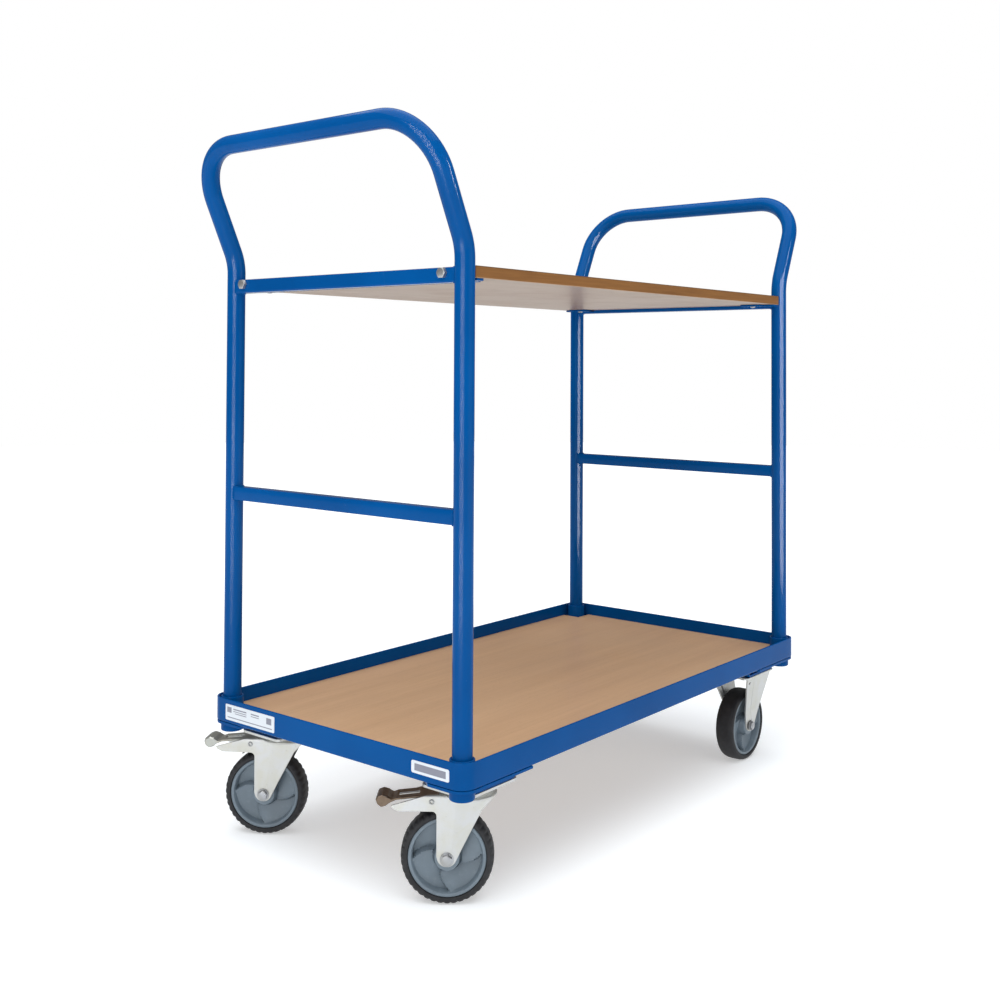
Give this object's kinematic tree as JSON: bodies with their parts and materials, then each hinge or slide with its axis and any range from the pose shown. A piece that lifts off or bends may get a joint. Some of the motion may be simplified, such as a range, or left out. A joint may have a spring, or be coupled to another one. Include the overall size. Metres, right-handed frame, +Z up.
{
  "type": "platform trolley",
  "caption": "Two-tier platform trolley: angle-steel deck frame, bent tube handle at each end, raised wooden shelf, braked swivel casters at one end and fixed casters at the other.",
  "frame": {"origin": "middle of the lower deck's top face; the floor is 0.1933 m below it", "axes": "+X along the trolley from the swivel casters to the fixed casters, +Y to the left, +Z up"},
  "size_m": [1.076, 0.5506, 1.0445],
  "materials": {
    "blue_powder_coat": "glossy powder coat",
    "beech_board": "satin melamine-faced board with a beech print",
    "zinc_plated_steel": "bright zinc plate",
    "tyre_rubber": "matt black thermoplastic rubber",
    "rim_plastic": "slate-grey moulded plastic",
    "brake_rubber": "matt black",
    "label_film": "blank printed film with no lettering"
  },
  "bodies": {
    "root": {"deck_board": "beech_board", "shelf_board": "beech_board", "side_rail_left": "blue_powder_coat", "side_rail_right": "blue_powder_coat", "end_rail_swivel": "blue_powder_coat", "end_rail_fixed": "blue_powder_coat", "handle_swivel": "blue_powder_coat", "mid_rail_swivel": "blue_powder_coat", "top_bar_swivel": "blue_powder_coat", "corner_swivel_left": "blue_powder_coat", "caster_bracket_swivel_left": "blue_powder_coat", "shelf_bracket_swivel_left": "blue_powder_coat", "shelf_bolt_swivel_left": "zinc_plated_steel", "shelf_screw_swivel_left": "zinc_plated_steel", "corner_swivel_right": "blue_powder_coat", "caster_bracket_swivel_right": "blue_powder_coat", "shelf_bracket_swivel_right": "blue_powder_coat", "shelf_bolt_swivel_right": "zinc_plated_steel", "shelf_screw_swivel_right": "zinc_plated_steel", "handle_fixed": "blue_powder_coat", "mid_rail_fixed": "blue_powder_coat", "top_bar_fixed": "blue_powder_coat", "corner_fixed_left": "blue_powder_coat", "caster_bracket_fixed_left": "blue_powder_coat", "shelf_bracket_fixed_left": "blue_powder_coat", "shelf_bolt_fixed_left": "zinc_plated_steel", "shelf_screw_fixed_left": "zinc_plated_steel", "corner_fixed_right": "blue_powder_coat", "caster_bracket_fixed_right": "blue_powder_coat", "shelf_bracket_fixed_right": "blue_powder_coat", "shelf_bolt_fixed_right": "zinc_plated_steel", "shelf_screw_fixed_right": "zinc_plated_steel", "label_long": "label_film", "label_small": "label_film", "swivel_plate_left": "zinc_plated_steel", "fixed_fork_left": "zinc_plated_steel", "axle_fixed_left": "zinc_plated_steel", "swivel_plate_right": "zinc_plated_steel", "fixed_fork_right": "zinc_plated_steel", "axle_fixed_right": "zinc_plated_steel"},
    "swivel_left": {"swivel_fork_left": "zinc_plated_steel", "pedal_pin_left": "zinc_plated_steel", "axle_swivel_left": "zinc_plated_steel"},
    "wheel_swivel_left": {"tyre_swivel_left": "tyre_rubber", "rim_swivel_left": "rim_plastic"},
    "pedal_left": {"brake_pedal_left": "zinc_plated_steel", "brake_shoe_left": "brake_rubber"},
    "wheel_fixed_left": {"tyre_fixed_left": "tyre_rubber", "rim_fixed_left": "rim_plastic"},
    "swivel_right": {"swivel_fork_right": "zinc_plated_steel", "pedal_pin_right": "zinc_plated_steel", "axle_swivel_right": "zinc_plated_steel"},
    "wheel_swivel_right": {"tyre_swivel_right": "tyre_rubber", "rim_swivel_right": "rim_plastic"},
    "pedal_right": {"brake_pedal_right": "zinc_plated_steel", "brake_shoe_right": "brake_rubber"},
    "wheel_fixed_right": {"tyre_fixed_right": "tyre_rubber", "rim_fixed_right": "rim_plastic"}
  },
  "joints": [
    {"name": "swivel_turn_left", "type": "hinge", "parent": "root", "child": "swivel_left", "pos_m": [-0.381, 0.1845, -0.0383], "axis": [0, 0, 1], "continuous": true},
    {"name": "wheel_spin_swivel_left", "type": "hinge", "parent": "swivel_left", "child": "wheel_swivel_left", "pos_m": [-0.3968, 0.20882, -0.1308], "axis": [-0.8387, -0.5446, 0], "continuous": true},
    {"name": "brake_press_left", "type": "hinge", "parent": "swivel_left", "child": "pedal_left", "pos_m": [-0.40791, 0.22593, -0.0555], "axis": [-0.8387, -0.5446, 0], "range_deg": [0, 10]},
    {"name": "wheel_spin_fixed_left", "type": "hinge", "parent": "root", "child": "wheel_fixed_left", "pos_m": [0.381, 0.1845, -0.1308], "axis": [0, 1, 0], "continuous": true},
    {"name": "swivel_turn_right", "type": "hinge", "parent": "root", "child": "swivel_right", "pos_m": [-0.381, -0.1845, -0.0383], "axis": [0, 0, 1], "continuous": true},
    {"name": "wheel_spin_swivel_right", "type": "hinge", "parent": "swivel_right", "child": "wheel_swivel_right", "pos_m": [-0.39901, -0.16177, -0.1308], "axis": [-0.7837, -0.6211, 0], "continuous": true},
    {"name": "brake_press_right", "type": "hinge", "parent": "swivel_right", "child": "pedal_right", "pos_m": [-0.41169, -0.14579, -0.0555], "axis": [-0.7837, -0.6211, 0], "range_deg": [0, 10]},
    {"name": "wheel_spin_fixed_right", "type": "hinge", "parent": "root", "child": "wheel_fixed_right", "pos_m": [0.381, -0.1845, -0.1308], "axis": [0, 1, 0], "continuous": true}
  ]
}
